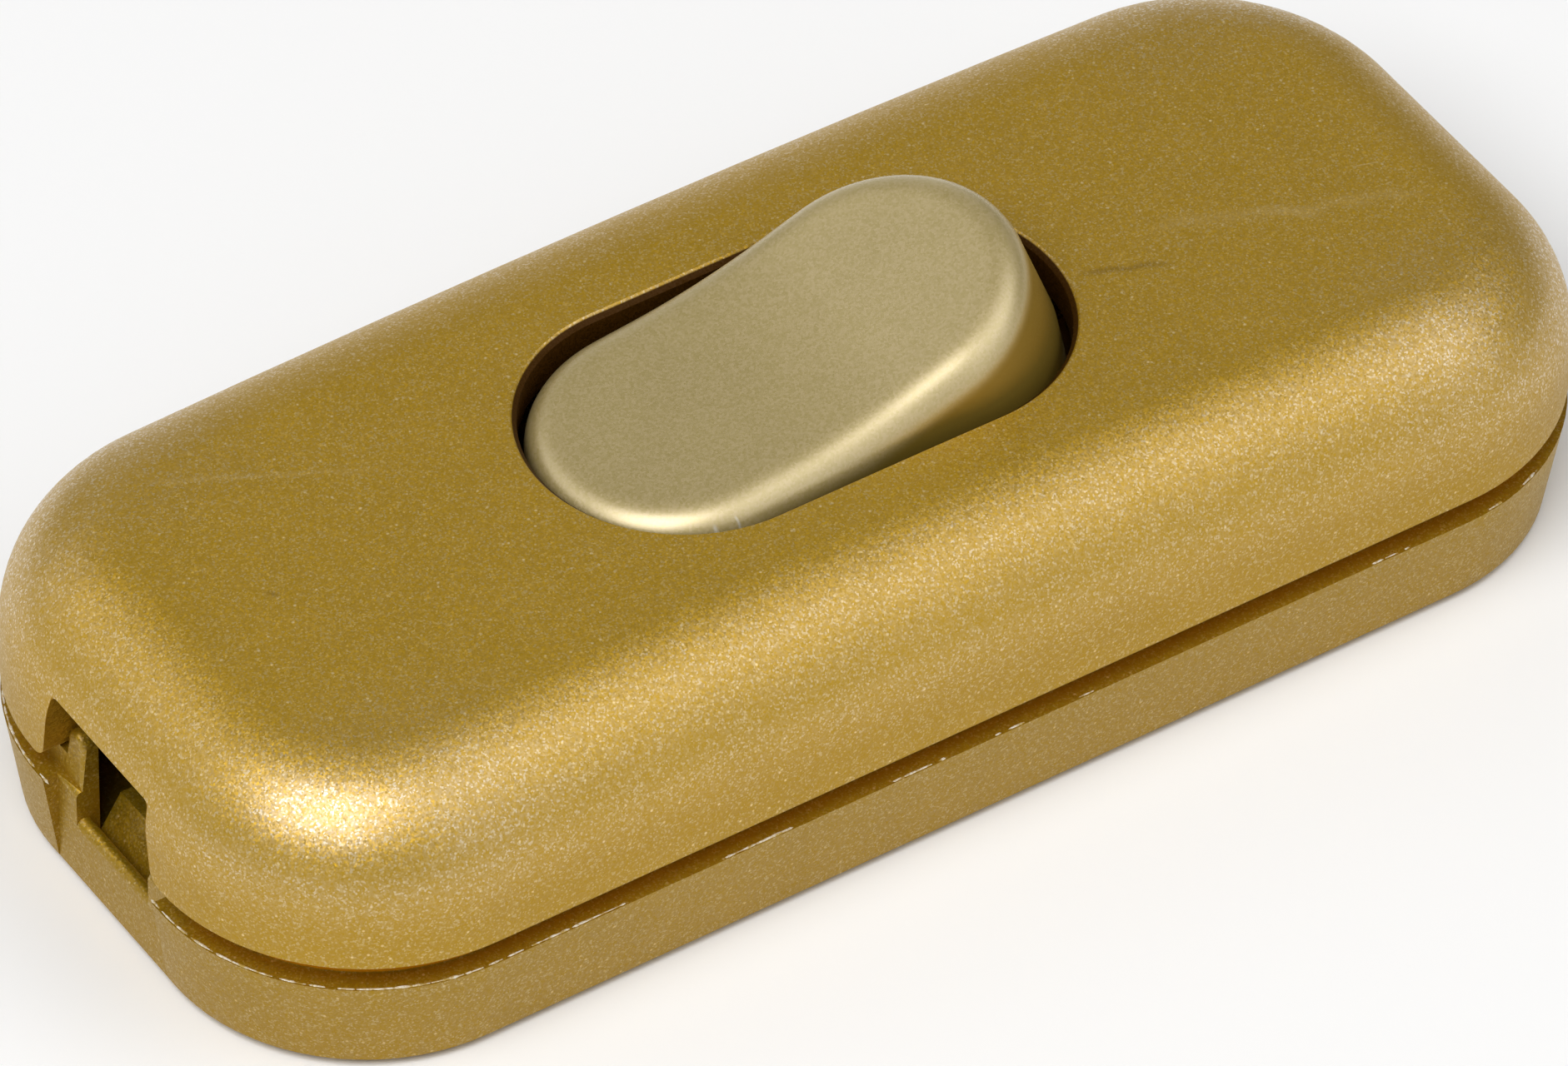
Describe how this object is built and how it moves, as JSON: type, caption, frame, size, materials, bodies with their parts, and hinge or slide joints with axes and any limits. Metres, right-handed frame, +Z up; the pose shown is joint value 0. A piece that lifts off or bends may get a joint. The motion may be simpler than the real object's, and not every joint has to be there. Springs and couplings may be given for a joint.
{
  "type": "inline cord switch",
  "caption": "Inline lamp-cord switch: rounded two-part moulded housing with a shadow groove, a cord entry at each end and a dished rocker that switches one pole.",
  "frame": {"origin": "centre of the underside, on the surface that the switch lies on", "axes": "+X along the cord, towards the rocker's raised end; +Y across; +Z up, out of the rocker"},
  "size_m": [0.06, 0.026, 0.0168],
  "materials": {
    "housing_gold": "metallic-flake old gold moulding, satin",
    "rocker_gold": "champagne gold, smooth satin",
    "plunger_nylon": "natural nylon",
    "spring_steel": "drawn wire",
    "contact_brass": "stamped brass",
    "contact_silver": "silver contact",
    "screw_steel": "zinc-plated",
    "clamp_plastic": "dark moulded plastic"
  },
  "bodies": {
    "housing": {"upper_housing": "housing_gold", "lower_housing": "housing_gold", "incoming_terminal": "contact_brass", "outgoing_terminal": "contact_brass", "fixed_contact": "contact_silver", "neutral_terminal": "contact_brass", "line_terminal_screws": "screw_steel", "neutral_terminal_screws": "screw_steel", "cord_clamp_left": "clamp_plastic", "cord_clamp_right": "clamp_plastic", "clamp_screws": "screw_steel", "housing_screws": "screw_steel"},
    "rocker": {"rocker": "rocker_gold", "plunger_spring": "spring_steel"},
    "plunger": {"plunger": "plunger_nylon"},
    "lever": {"contact_lever": "contact_brass", "moving_contact": "contact_silver"}
  },
  "joints": [
    {"name": "rocker_tilt", "type": "hinge", "parent": "housing", "child": "rocker", "pos_m": [0, 0, 0.0099], "axis": [0, 1, 0], "range_deg": [0, 26.4]},
    {"name": "lever_tilt", "type": "hinge", "parent": "housing", "child": "lever", "pos_m": [0, 0, 0.00273], "axis": [0, 1, 0], "range_deg": [-18, 0]},
    {"name": "plunger_slide", "type": "slide", "parent": "rocker", "child": "plunger", "axis": [-0.2284, 0, 0.9736], "range_m": [0, 0.0006], "stiffness_N_per_m": 300, "springref_m": -0.002, "deforming": ["plunger_spring"]}
  ],
  "couplings": [
    {"joint": "lever_tilt", "follows": "rocker_tilt", "ratio": -0.68182}
  ]
}
